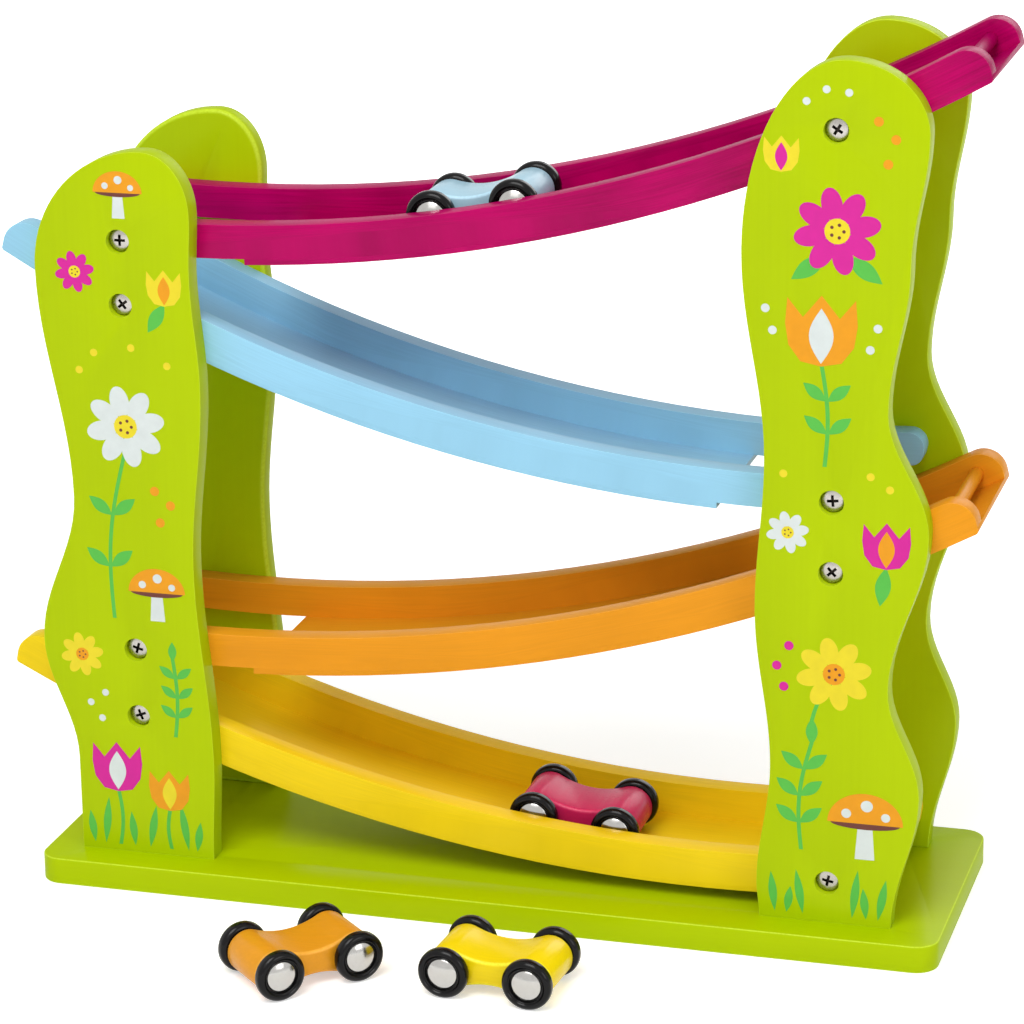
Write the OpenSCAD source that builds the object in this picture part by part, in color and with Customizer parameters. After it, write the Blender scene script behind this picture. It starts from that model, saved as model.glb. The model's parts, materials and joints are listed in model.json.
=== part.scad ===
// Click clack track toy: four wavy posts on a base board carry four curved tracks,
// and small cars roll down them from track to track.
// Millimetres. The origin is the centre of the base board's underside.
// +X points right, +Y to the back and +Z up.

/* [Base board] */
// Length of the base board
base_l = 400; // [392:1:520]
// Depth of the base board from front to back
base_w = 132; // [124:1:200]
// Thickness of the base board
base_t = 12; // [8:0.5:20]
// Radius of the base board's upright corners
base_corner_r = 10; // [2:0.5:20]

/* [Posts] */
// Thickness of a post
post_t = 10; // [8:0.5:16]
// Line of the screws in the left posts
left_post_x = -155.4; // [-162:0.2:-148]
// Line of the screws in the right posts
right_post_x = 150.8; // [144:0.2:158]
// Height of the left posts' crown above their top screw
left_crown_h = 38.8; // [30:0.2:60]
// Height of the right posts' crown above their top screw
right_crown_h = 28.4; // [24:0.2:60]

/* [Tracks] */
// Radius of the underside of a track
track_r = 686; // [640:1:740]
// Turn of a rail from end to end, in degrees
rail_turn = 33.6; // [30:0.1:36]
// Height of a rail
rail_h = 14.5; // [12:0.5:18]
// Thickness of a rail
rail_t = 10; // [9:0.5:14]
// Thickness of the floor strip under the rails
floor_t = 2.5; // [1.5:0.1:4]
// Width of the channel between the rails
channel_w = 60; // [50:1:72]
// Length of the gap in the floor that a car drops through
drop_gap = 72.5; // [64:0.5:84]
// Radius of the top corner of a rail's high end
high_top_r = 10; // [6:0.5:12]
// Radius of the bottom corner of a rail's high end
high_bottom_r = 1.5; // [0.5:0.1:2]
// Radius of the top corner of a rail's low end
low_top_r = 7; // [3:0.5:8]
// Radius of the bottom corner of a rail's low end
low_bottom_r = 5; // [1:0.5:6]
// Height of the bottom track's lowest point above the base board
bottom_track_h = 5.8; // [3:0.2:14]
// Height of the lower track above the bottom track
lower_step = 78.8; // [74:0.2:96]
// Height of the upper track above the lower track
upper_step = 90.3; // [84:0.2:100]
// Height of the top track above the upper track
top_step = 91.9; // [88:0.2:104]
// Place of the bottom track's lowest point, left to right
bottom_low_x = 96.3; // [88:0.1:104]
// Place of the lower track's lowest point, left to right
lower_low_x = -127.7; // [-136:0.1:-120]
// Place of the upper track's lowest point, left to right
upper_low_x = 133; // [124:0.1:140]
// Place of the top track's lowest point, left to right
top_low_x = -132; // [-140:0.1:-124]
// Turn of the top track past its lowest point, in degrees
top_low_turn = 3.6; // [2.5:0.05:5]
// Turn of the upper track past its lowest point, in degrees
upper_low_turn = 3.35; // [2.5:0.05:5]
// Turn of the lower track past its lowest point, in degrees
lower_low_turn = 4.15; // [2.5:0.05:5]
// Turn of the bottom track past its lowest point, in degrees
bottom_low_turn = 6.5; // [5:0.05:8]
// Diameter of a stop dowel
dowel_d = 6; // [4:0.2:7]
// Distance of a stop dowel's middle from the rail's end
dowel_in = 9.5; // [6:0.5:12]
// Height of a stop dowel's middle above the track's underside
dowel_up = 9.1; // [8:0.1:11]
// Depth of a stop dowel in each rail
dowel_sink = 6; // [3:0.5:8]

/* [Screws] */
// Diameter of a screw's shank
shank_d = 3.5; // [2.5:0.1:4.5]
// Diameter of a track screw's head
head_d = 9.5; // [7:0.1:12]
// Height of a track screw's head
head_h = 2.4; // [1.8:0.1:3]
// Height of the straight rim of a track screw's head
head_rim_h = 1.2; // [0.8:0.1:1.6]
// Diameter of the counterbore for a track screw
counterbore_d = 10.4; // [9.8:0.1:14]
// Depth of the counterbore for a track screw
counterbore_depth = 5; // [3:0.2:6]
// Depth of a track screw in the rail
rail_bite = 8; // [4:0.5:8.6]
// Length of the cross recess in a screw's head
recess_l = 5; // [3:0.1:6]
// Width of the cross recess in a screw's head
recess_w = 1.2; // [0.6:0.1:1.6]
// Depth of the cross recess in a screw's head
recess_depth = 1.2; // [0.6:0.1:1.4]
// Length of a base screw
base_screw_l = 34; // [26:1:40]
// Diameter of a base screw's countersunk head
base_head_d = 7; // [5.5:0.1:8.5]
// Depth of a base screw's head below the underside of the board
base_head_sink = 0.4; // [0.2:0.1:1]
// Distance between the two base screws of a post
base_screw_pitch = 34; // [24:1:40]

/* [Cars] */
// Distance between the axles of a car
wheelbase = 36.6; // [32:0.2:44]
// Width of a car's body
body_w = 27.4; // [22:0.2:30]
// Diameter of the round ends of a car's body
body_end_d = 18.4; // [16:0.2:19.6]
// Height of a car's waist
waist_h = 10.6; // [8:0.2:13]
// Diameter of a wheel
wheel_d = 21.6; // [20.4:0.1:24]
// Width of a wheel
wheel_w = 6; // [4.5:0.1:8]
// Radius of the rounded edges of a wheel
tyre_r = 2.4; // [1:0.1:2.7]
// Depth of the round recess in a wheel's outer face
hub_depth = 1.6; // [0.8:0.1:2.2]
// Diameter of an axle
axle_d = 3.5; // [2.5:0.1:5]
// Depth of an axle's end in its cap
cap_sink = 1; // [0.5:0.1:1.2]
// Diameter of an axle cap
cap_d = 13.2; // [9:0.1:14]
// Height of an axle cap
cap_h = 2.2; // [1.9:0.1:3]
// Height of the straight rim of an axle cap
cap_rim_h = 0.5; // [0.3:0.1:0.8]
// Turn of the light blue car up the top track from its lowest point, in degrees
blue_car_turn = 10.7; // [6:0.05:24]
// Turn of the crimson car up the bottom track from its lowest point, in degrees
crimson_car_turn = 5.3; // [0:0.05:20]
// Gap between the caps of a car on a track and the front rail
car_rail_gap = 2.6; // [0.5:0.1:9]
// Place of the yellow car on the floor, left to right
yellow_car_x = 28.3; // [20:0.1:60]
// Place of the yellow car on the floor, front to back
yellow_car_y = -120; // [-160:0.1:-116]
// Heading of the yellow car, in degrees
yellow_car_heading = -4.1; // [-10:0.1:10]
// Place of the orange car on the floor, left to right
orange_car_x = -55; // [-90:0.1:-50]
// Place of the orange car on the floor, front to back
orange_car_y = -130.3; // [-160:0.1:-124]
// Heading of the orange car, in degrees
orange_car_heading = 46; // [36:0.1:56]

/* [Fits] */
// Gap around an axle in the bore of a car's body
running_gap = 0.05; // [0.03:0.01:0.09]
// Gap around a pressed, glued or screwed piece in its hole
fixed_gap = 0.03; // [0.02:0.01:0.05]
// Gap under a wheel that stands on a track
roll_gap = 0.3; // [0.2:0.05:0.5]
// Gap between a car's body and its wheels
side_gap = 0.6; // [0.4:0.1:1]
// Gap around an axle cap in the wheel's recess
cap_gap = 0.6; // [0.4:0.1:0.8]

/* [Hidden] */
$fn = 64;
eps = 1;
far = 60;

// Turning points of the posts' edges: height above the base board, offset from the screw line
left_post_outer = [[0, -28.8], [43, -28.8], [97, -42.6], [163, -25.4], [264, -38.1]];
left_post_inner = [[0, 32.6], [44, 34.2], [134, 28.3], [214, 34.5], [264, 31.4], [289, 32.4]];
right_post_inner = [[0, -28.8], [16, -30], [68, -24.6], [137, -31.6], [201, -28.1], [288, -38.1]];
right_post_outer = [[0, 27.4], [59, 38.3], [105, 24.5], [173, 40.2], [224, 22.7], [284, 30.8], [338, 37.5]];
// Offset of each crown's highest point from the screw line
left_crown_x = 11.6;
right_crown_x = 3.2;

// Tracks from the top down: side of the high end, place of the lowest point, height, turn past it, gap
bottom_low_z = base_t + bottom_track_h;
lower_low_z = bottom_low_z + lower_step;
upper_low_z = lower_low_z + upper_step;
top_low_z = upper_low_z + top_step;
tracks = [
    [1, top_low_x, top_low_z, top_low_turn, drop_gap],
    [-1, upper_low_x, upper_low_z, upper_low_turn, drop_gap],
    [1, lower_low_x, lower_low_z, lower_low_turn, drop_gap],
    [-1, bottom_low_x, bottom_low_z, bottom_low_turn, 0]
];
track_colours = ["#B4005F", "#A0D0E6", "#E8A032", "#F0D232"];
stand_colour = "#B2CB24";
steel = "#B9B4AC";

rail_r_out = track_r - floor_t;
rail_r_in = rail_r_out - rail_h;
rail_r_mid = rail_r_out - rail_h / 2;
track_w = channel_w + 2 * rail_t;
post_y = track_w / 2;
screw_xs = [left_post_x, right_post_x];
screw_l = post_t - counterbore_depth + rail_bite;

wheel_r = wheel_d / 2;
axle_r = axle_d / 2;
body_end_r = body_end_d / 2;
waist_r = (pow(wheelbase / 2, 2) + pow(waist_h / 2, 2) - pow(body_end_r, 2)) / (2 * body_end_r - waist_h);
wheel_y = body_w / 2 + side_gap;
hub_y = wheel_y + wheel_w - hub_depth;
axle_l = 2 * (hub_y + cap_sink);
// Distance of the cars on the tracks from the middle, towards the front
car_side = channel_w / 2 - hub_y - cap_h - car_rail_gap;
// Distance of a car's axles from the arc's centre, and of the point midway between them
axle_track_r = rail_r_out - roll_gap - wheel_r;
car_track_r = sqrt(pow(axle_track_r, 2) - pow(wheelbase / 2, 2));

// Cars: what each one stands on, its track and turn or its place and heading, and its colour
blue_car = ["track", tracks[0], blue_car_turn, "#A0D0DE"];
crimson_car = ["track", tracks[3], crimson_car_turn, "#BE2846"];
orange_car = ["floor", [orange_car_x, orange_car_y], orange_car_heading, "#EAA526"];
yellow_car = ["floor", [yellow_car_x, yellow_car_y], yellow_car_heading, "#F9DD24"];

// Height of a rail's middle line at a place along the toy
function rail_z(track, x) = track[2] + track_r - sqrt(pow(rail_r_mid, 2) - pow(x - track[1], 2));

// Points of a wavy edge, with half a cosine wave between neighbouring turning points
function wave(turns, steps = 12) = [
    for (i = [0 : len(turns) - 2], k = [0 : steps - 1])
    let (a = turns[i], b = turns[i + 1], t = k / steps)
    [a[1] + (b[1] - a[1]) * (1 - cos(180 * t)) / 2, a[0] + (b[0] - a[0]) * t]
];

// Points of an arc of an ellipse
function arc(cx, cy, rx, ry, from, to, steps) = [
    for (k = [0 : steps])
    let (t = from + (to - from) * k / steps)
    [cx + rx * cos(t), cy + ry * sin(t)]
];

function reversed(list) = [for (i = [len(list) - 1 : -1 : 0]) list[i]];

function last(list) = list[len(list) - 1];

// Outline of a post: up one wavy edge, over the crown and down the other edge
function post_outline(left_edge, right_edge, crown_x, crown_h) = let (
    l = last(left_edge),
    r = last(right_edge)
) concat(
    wave(left_edge),
    arc(crown_x, l[0], crown_x - l[1], crown_h - l[0], 180, 90, 20),
    [for (p = arc(crown_x, r[0], r[1] - crown_x, crown_h - r[0], 90, 0, 20)) if (p[0] > crown_x + 0.01) p],
    reversed(wave(right_edge))
);

// Base board

module corner_square(l, w, r) {
    square([l - 2 * r, w], center = true);
    square([l, w - 2 * r], center = true);
    for (sx = [-1, 1], sy = [-1, 1]) translate([sx * (l / 2 - r), sy * (w / 2 - r)]) circle(r = r);
}

// Places of the base screws: two under each post
module at_base_screws() {
    for (x = screw_xs, s = [-1, 1], side = [-1, 1])
        translate([x + s * base_screw_pitch / 2, side * (post_y + post_t / 2), 0]) children();
}

// The countersunk hole for a base screw, in section, with the head's face on Y = 0
module countersink_section() polygon([
    [0, -base_head_sink - eps],
    [base_head_d / 2 + fixed_gap, -base_head_sink - eps],
    [base_head_d / 2 + fixed_gap, 0],
    [shank_d / 2 + fixed_gap, (base_head_d - shank_d) / 2],
    [shank_d / 2 + fixed_gap, base_t + eps],
    [0, base_t + eps]
]);

module base_board() color(stand_colour) difference() {
    linear_extrude(base_t) corner_square(base_l, base_w, base_corner_r);
    at_base_screws() translate([0, 0, base_head_sink]) rotate_extrude() countersink_section();
}

module base_screws() color(steel) at_base_screws() translate([0, 0, base_head_sink]) difference() {
    rotate_extrude() polygon([
        [0, 0],
        [base_head_d / 2, 0],
        [shank_d / 2, (base_head_d - shank_d) / 2],
        [shank_d / 2, base_screw_l],
        [0, base_screw_l]
    ]);
    for (turn = [0, 90]) rotate(turn)
        translate([-recess_l / 2, -recess_w / 2, -eps]) cube([recess_l, recess_w, recess_depth + eps]);
}

// Posts

// Places of the track screws on one side, with Z pointing out of the post's face
module at_track_screws(xs, side, list = tracks) {
    for (x = xs, track = list)
        translate([x, side * post_y, rail_z(track, x)]) rotate([-90 * side, 0, 0]) children();
}

module post(x, outline, side) color(stand_colour) difference() {
    translate([x, side * (post_y + post_t / 2) + post_t / 2, base_t])
        rotate([90, 0, 0]) linear_extrude(post_t) polygon(outline);
    at_track_screws([x], side) translate([0, 0, -eps])
        cylinder(r = shank_d / 2 + fixed_gap, h = post_t + eps);
    at_track_screws([x], side) translate([0, 0, post_t - counterbore_depth])
        cylinder(r = counterbore_d / 2, h = counterbore_depth + eps);
    at_base_screws() cylinder(r = shank_d / 2 + fixed_gap, h = base_head_sink + base_screw_l + fixed_gap);
}

left_outline = post_outline(left_post_outer, left_post_inner, left_crown_x,
    rail_z(tracks[0], left_post_x) + left_crown_h - base_t);
right_outline = post_outline(right_post_inner, right_post_outer, right_crown_x,
    rail_z(tracks[0], right_post_x) + right_crown_h - base_t);

// A pan head screw pointing into the post, with the head's underside on Z = 0
module track_screw() difference() {
    dome_h = head_h - head_rim_h;
    dome_r = (pow(head_d / 2, 2) + pow(dome_h, 2)) / (2 * dome_h);
    union() {
        intersection() {
            cylinder(r = head_d / 2, h = head_h + eps);
            translate([0, 0, head_h - dome_r]) sphere(r = dome_r);
        }
        translate([0, 0, -screw_l]) cylinder(r = shank_d / 2, h = screw_l + head_rim_h / 2);
    }
    for (turn = [0, 90]) rotate(turn)
        translate([-recess_l / 2, -recess_w / 2, head_h - recess_depth])
        cube([recess_l, recess_w, recess_depth + eps]);
}

module track_screws() color(steel) for (side = [-1, 1])
    at_track_screws(screw_xs, side) translate([0, 0, post_t - counterbore_depth]) track_screw();

// Tracks

// Frame of a track: origin at the arc's centre, with the high end towards +X
module in_track(track)
    translate([track[1], 0, track[2] + track_r]) mirror([track[0] < 0 ? 1 : 0, 0, 0]) children();

// Point on an arc, turned from straight down towards +X, with X along the arc and Z to its centre
module at_turn(a, r) translate([r * sin(a), 0, -r * cos(a)]) rotate([0, -a, 0]) children();

// A curved strip between two radii and two turns, centred across on Y = 0
module arc_strip(r_in, r_out, from, to, w)
    rotate([90, 0, 0]) translate([0, 0, -w / 2]) rotate(from - 90)
    rotate_extrude(angle = to - from, $fn = 360) translate([r_in, 0]) square([r_out - r_in, w]);

function high_turn(track) = rail_turn - track[3];
function arc_turn(l, r) = l / r * 180 / PI;
// Slope of the straight line between a rail's ends, which the ends are cut square to
function chord_turn(track) = rail_turn / 2 - track[3];

// Point past the last of two points, on the line through them
function past_end(last, before) = last + 2 * eps * (last - before) / norm(last - before);

// Outline of what is cut away beyond a rail's end, in a frame with X along the chord.
// The end's underside lies at turn a and radius r, and its two corners are rounded.
function end_outline(a, chord, r, top_r, bottom_r) = let (
    u = r * sin(a - chord),
    top_turn = asin((u - top_r) / (rail_r_in + top_r)),
    bottom_turn = asin((u - bottom_r) / (r - bottom_r)),
    top = arc(u - top_r, -(rail_r_in + top_r) * cos(top_turn), top_r, top_r, 0, 90 + top_turn, 12),
    bottom = arc(u - bottom_r, -(r - bottom_r) * cos(bottom_turn), bottom_r, bottom_r, bottom_turn - 90, 0, 8),
    first = past_end(bottom[0], bottom[1]),
    final = past_end(top[12], top[11])
) concat(
    [first],
    [for (i = [1 : 8]) bottom[i]],
    [for (i = [0 : 11]) top[i]],
    [final, [final[0], final[1] + far], [u + far, final[1] + far], [u + far, first[1]]]
);

module end_cut(outline, chord) rotate([0, -chord, 0]) rotate([90, 0, 0])
    linear_extrude(2 * track_w, center = true) polygon(outline);

module high_end_cut(track) end_cut(
    end_outline(high_turn(track), chord_turn(track), track_r, high_top_r, high_bottom_r), chord_turn(track));

// Where the floor stops short, the low end's lower corner lies on the rail itself
module low_end_cut(track) mirror([1, 0, 0]) end_cut(
    end_outline(track[3], -chord_turn(track), track[4] > 0 ? rail_r_out : track_r, low_top_r, low_bottom_r),
    -chord_turn(track));

// Place of the stop dowel at a track's high end, with Y across the track
module at_dowel(track) in_track(track)
    at_turn(high_turn(track) - arc_turn(dowel_in, track_r), track_r - dowel_up) children();

module rail(track, side) color(track_colours[search([track], tracks)[0]]) difference() {
    in_track(track) difference() {
        translate([0, side * (channel_w + rail_t) / 2, 0])
            arc_strip(rail_r_in, rail_r_out, -track[3] - 2, high_turn(track) + 2, rail_t);
        high_end_cut(track);
        low_end_cut(track);
    }
    at_dowel(track) rotate([90, 0, 0]) cylinder(r = dowel_d / 2 + fixed_gap,
        h = channel_w + 2 * (dowel_sink + fixed_gap), center = true);
    at_track_screws(screw_xs, side, [track]) translate([0, 0, -rail_bite - fixed_gap])
        cylinder(r = shank_d / 2 + fixed_gap, h = rail_bite + fixed_gap + eps);
}

// The floor strip stops short of the low end where a car drops through
module track_floor(track) color(track_colours[search([track], tracks)[0]]) in_track(track) difference() {
    from = track[4] > 0 ? -track[3] + arc_turn(track[4], track_r) : -track[3] - 2;
    arc_strip(rail_r_out, track_r, from, high_turn(track) + 2, track_w);
    high_end_cut(track);
    if (track[4] == 0) low_end_cut(track);
}

module stop_dowel(track) color(track_colours[search([track], tracks)[0]]) at_dowel(track)
    rotate([90, 0, 0]) cylinder(r = dowel_d / 2, h = channel_w + 2 * dowel_sink, center = true);

// Cars

// Frame of a car: origin midway between the axles, X to the front end and Z up
module in_car(car) {
    if (car[0] == "track") {
        translate([car[1][1], -car_side, car[1][2] + track_r]) at_turn(car[1][0] * car[2], car_track_r) children();
    } else {
        translate([car[1][0], car[1][1], wheel_r]) rotate(car[2]) children();
    }
}

// Outline of a body: round ends about the axles, joined by a hollow waist above and below
function body_outline() = let (
    d = wheelbase / 2,
    c = waist_r + waist_h / 2,
    a = atan2(c, -d)
) concat(
    arc(d, 0, body_end_r, body_end_r, -a, a, 28),
    [for (k = [1 : 15]) let (t = a - 180 - (2 * a - 180) * k / 16) [waist_r * cos(t), c + waist_r * sin(t)]],
    arc(-d, 0, body_end_r, body_end_r, 180 - a, 180 + a, 28),
    [for (k = [1 : 15]) let (t = a - (2 * a - 180) * k / 16) [waist_r * cos(t), -c + waist_r * sin(t)]]
);

module car_body(car) color(car[3]) in_car(car) difference() {
    rotate([90, 0, 0]) linear_extrude(body_w, center = true) polygon(body_outline());
    for (s = [-1, 1]) translate([s * wheelbase / 2, 0, 0])
        rotate([90, 0, 0]) cylinder(r = axle_r + running_gap, h = body_w + 2 * eps, center = true);
}

module axle(car, end) color(steel) in_car(car) translate([end * wheelbase / 2, 0, 0])
    rotate([90, 0, 0]) cylinder(r = axle_r, h = axle_l, center = true);

// Wheel in section, from the axle outwards, with the inner face on Y = 0
module wheel_section() difference() {
    union() {
        square([wheel_r - tyre_r, wheel_w]);
        translate([0, tyre_r]) square([wheel_r, wheel_w - 2 * tyre_r]);
        for (y = [tyre_r, wheel_w - tyre_r]) translate([wheel_r - tyre_r, y]) circle(r = tyre_r);
    }
    translate([-eps, -eps]) square([axle_r + fixed_gap + eps, wheel_w + 2 * eps]);
    translate([-eps, wheel_w - hub_depth]) square([cap_d / 2 + cap_gap + eps, hub_depth + eps]);
}

// Wheel at one end of the car and on one side of it
module wheel(car, end, side) color("#343032") in_car(car) translate([end * wheelbase / 2, side * wheel_y, 0])
    rotate([-90 * side, 0, 0]) rotate_extrude() wheel_section();

module axle_cap() difference() {
    dome_h = cap_h - cap_rim_h;
    dome_r = (pow(cap_d / 2, 2) + pow(dome_h, 2)) / (2 * dome_h);
    intersection() {
        cylinder(r = cap_d / 2, h = cap_h + eps);
        translate([0, 0, cap_h - dome_r]) sphere(r = dome_r);
    }
    translate([0, 0, -eps]) cylinder(r = axle_r + fixed_gap, h = cap_sink + fixed_gap + eps);
}

// The two caps of an axle
module axle_caps(car, end) color("#D8D8DC") in_car(car) for (side = [-1, 1])
    translate([end * wheelbase / 2, side * hub_y, 0]) rotate([-90 * side, 0, 0]) axle_cap();

base_board();
base_screws();
track_screws();
post(left_post_x, left_outline, -1);  // left_front_post
post(left_post_x, left_outline, 1);  // left_back_post
post(right_post_x, right_outline, -1);  // right_front_post
post(right_post_x, right_outline, 1);  // right_back_post
rail(tracks[0], -1);  // top_front_rail
rail(tracks[0], 1);  // top_back_rail
track_floor(tracks[0]);  // top_floor
stop_dowel(tracks[0]);  // top_dowel
rail(tracks[1], -1);  // upper_front_rail
rail(tracks[1], 1);  // upper_back_rail
track_floor(tracks[1]);  // upper_floor
stop_dowel(tracks[1]);  // upper_dowel
rail(tracks[2], -1);  // lower_front_rail
rail(tracks[2], 1);  // lower_back_rail
track_floor(tracks[2]);  // lower_floor
stop_dowel(tracks[2]);  // lower_dowel
rail(tracks[3], -1);  // bottom_front_rail
rail(tracks[3], 1);  // bottom_back_rail
track_floor(tracks[3]);  // bottom_floor
stop_dowel(tracks[3]);  // bottom_dowel
car_body(blue_car);  // blue_car_body
axle(blue_car, 1);  // blue_front_axle
axle(blue_car, -1);  // blue_rear_axle
wheel(blue_car, 1, 1);  // blue_front_left_wheel
wheel(blue_car, 1, -1);  // blue_front_right_wheel
wheel(blue_car, -1, 1);  // blue_rear_left_wheel
wheel(blue_car, -1, -1);  // blue_rear_right_wheel
axle_caps(blue_car, 1);  // blue_front_caps
axle_caps(blue_car, -1);  // blue_rear_caps
car_body(crimson_car);  // crimson_car_body
axle(crimson_car, 1);  // crimson_front_axle
axle(crimson_car, -1);  // crimson_rear_axle
wheel(crimson_car, 1, 1);  // crimson_front_left_wheel
wheel(crimson_car, 1, -1);  // crimson_front_right_wheel
wheel(crimson_car, -1, 1);  // crimson_rear_left_wheel
wheel(crimson_car, -1, -1);  // crimson_rear_right_wheel
axle_caps(crimson_car, 1);  // crimson_front_caps
axle_caps(crimson_car, -1);  // crimson_rear_caps
car_body(orange_car);  // orange_car_body
axle(orange_car, 1);  // orange_front_axle
axle(orange_car, -1);  // orange_rear_axle
wheel(orange_car, 1, 1);  // orange_front_left_wheel
wheel(orange_car, 1, -1);  // orange_front_right_wheel
wheel(orange_car, -1, 1);  // orange_rear_left_wheel
wheel(orange_car, -1, -1);  // orange_rear_right_wheel
axle_caps(orange_car, 1);  // orange_front_caps
axle_caps(orange_car, -1);  // orange_rear_caps
car_body(yellow_car);  // yellow_car_body
axle(yellow_car, 1);  // yellow_front_axle
axle(yellow_car, -1);  // yellow_rear_axle
wheel(yellow_car, 1, 1);  // yellow_front_left_wheel
wheel(yellow_car, 1, -1);  // yellow_front_right_wheel
wheel(yellow_car, -1, 1);  // yellow_rear_left_wheel
wheel(yellow_car, -1, -1);  // yellow_rear_right_wheel
axle_caps(yellow_car, 1);  // yellow_front_caps
axle_caps(yellow_car, -1);  // yellow_rear_caps
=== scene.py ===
# %% [markdown]
# # A click clack track toy
# Four wavy posts on a base board carry four curved tracks. A car rolls down a track, drops through
# the gap in its floor and runs back on the next one. The solids of the toy come in as a fixed frame.
# This lesson dresses them: it rounds the wooden edges, turns the wheels and screws, prints the posts,
# and gives each piece the finish of the real material.

# %% Load the frame
import json
import math

import bmesh
import bpy
from mathutils import Matrix, Quaternion, Vector


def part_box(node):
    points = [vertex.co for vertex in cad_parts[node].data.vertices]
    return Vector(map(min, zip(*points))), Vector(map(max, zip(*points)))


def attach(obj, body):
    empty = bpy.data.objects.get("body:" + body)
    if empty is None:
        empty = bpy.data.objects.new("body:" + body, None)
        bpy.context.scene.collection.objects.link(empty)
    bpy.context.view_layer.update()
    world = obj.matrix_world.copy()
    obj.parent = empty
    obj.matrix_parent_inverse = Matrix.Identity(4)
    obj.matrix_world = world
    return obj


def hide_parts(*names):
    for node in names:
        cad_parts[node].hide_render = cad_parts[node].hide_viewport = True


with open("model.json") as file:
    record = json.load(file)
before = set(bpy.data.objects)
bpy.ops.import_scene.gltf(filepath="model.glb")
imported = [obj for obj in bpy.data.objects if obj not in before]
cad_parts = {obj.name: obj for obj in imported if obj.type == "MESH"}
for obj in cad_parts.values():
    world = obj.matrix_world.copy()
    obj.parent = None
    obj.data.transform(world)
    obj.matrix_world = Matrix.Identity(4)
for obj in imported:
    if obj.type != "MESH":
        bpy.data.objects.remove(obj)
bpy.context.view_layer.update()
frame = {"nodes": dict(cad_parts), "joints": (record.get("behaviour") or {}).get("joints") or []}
nodes = frame["nodes"]
MM = 0.001

# %% [markdown]
# ## The camera
# The photograph was taken with a long lens from the front right, a little above the toy. The camera is
# given by its azimuth, elevation and roll, and by where the frame's origin lies in front of the lens.

# %% Camera
AZIMUTH, ELEVATION, ROLL = (math.radians(a) for a in (16.279, 17.682, 0.775))
ORIGIN_IN_VIEW = Vector((1.059, 158.269, 1702.8)) * MM
FOCAL_PIXELS, IMAGE_PIXELS, SENSOR_MM = 3836, 1024, 36

back = Vector((math.sin(AZIMUTH) * math.cos(ELEVATION), -math.cos(AZIMUTH) * math.cos(ELEVATION),
               math.sin(ELEVATION)))
level_right = (-back).cross(Vector((0, 0, 1))).normalized()
level_down = (-back).cross(level_right).normalized()
right = math.cos(ROLL) * level_right + math.sin(ROLL) * level_down
down = -math.sin(ROLL) * level_right + math.cos(ROLL) * level_down
eye = -(right * ORIGIN_IN_VIEW.x + down * ORIGIN_IN_VIEW.y - back * ORIGIN_IN_VIEW.z)

camera_data = bpy.data.cameras.new("camera")
camera_data.sensor_width = SENSOR_MM
camera_data.lens = FOCAL_PIXELS / IMAGE_PIXELS * SENSOR_MM
camera_data.clip_end = 20
camera = bpy.data.objects.new("camera", camera_data)
camera.matrix_world = Matrix((
    (right.x, -down.x, back.x, eye.x),
    (right.y, -down.y, back.y, eye.y),
    (right.z, -down.z, back.z, eye.z),
    (0, 0, 0, 1)))
bpy.context.scene.collection.objects.link(camera)
bpy.context.scene.camera = camera
print("camera at", [round(c, 3) for c in eye], "lens", round(camera_data.lens, 1), "mm")

# %% [markdown]
# ## Helpers for node trees
# Shaders and Geometry Nodes are built in the same way: a node is added with its settings, its input
# values and its links. Colours are written as sRGB hex values, and one function turns them to linear.

# %% Node and colour helpers
def add(tree, kind, links=None, values=None, **settings):
    """Adds a node. links and values name its inputs by name or number."""
    new = tree.nodes.new(kind)
    for name, value in settings.items():
        setattr(new, name, value)
    for key, value in (values or {}).items():
        new.inputs[key].default_value = value
    for key, output in (links or {}).items():
        tree.links.new(output, new.inputs[key])
    return new


def linear(hex_colour):
    """Linear colour with alpha from an sRGB hex value such as #B0C806."""
    parts = [int(hex_colour[i:i + 2], 16) / 255 for i in (1, 3, 5)]
    return tuple(c / 12.92 if c <= 0.04045 else ((c + 0.055) / 1.055) ** 2.4 for c in parts) + (1,)


print("lime paint in linear light:", [round(c, 3) for c in linear("#B0C806")])

# %% [markdown]
# ## Painted and stained wood
# The boards are plywood and MDF under a satin lacquer. Paint hides most of the wood: what is left to
# the eye is a soft sheen, a slight unevenness of the film and, on the stained tracks, fine streaks along
# the grain. The streaks are a noise texture stretched along the piece. On the bent tracks straight
# coordinates would cut across the grain, so those pieces carry their own grain coordinates: distance
# along the arc, across, and up, in millimetres. The rounded edges get a painted highlight: their colour
# is made lighter there, in patches. The meshes store where those edges are.

# %% Wood finishes
BOARD_STREAK_MM, TRACK_STREAK_MM = (90, 1.6), (34, 0.8)
# Painted highlight on the rounded edges: their colour is scaled by the gain and raised by the lift.
EDGE_HIGHLIGHT_GAIN, EDGE_HIGHLIGHT_LIFT = 1.3, 0.04


def scaled(colour, factor, lift=0.0):
    """A linear colour made lighter or darker."""
    return tuple(min(1, c * factor + lift) for c in colour[:3]) + (1,)


def noise(tree, place, scale, detail, roughness):
    settings = {"Scale": scale, "Detail": detail, "Roughness": roughness}
    return add(tree, "ShaderNodeTexNoise", {"Vector": place}, settings).outputs["Fac"]


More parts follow.
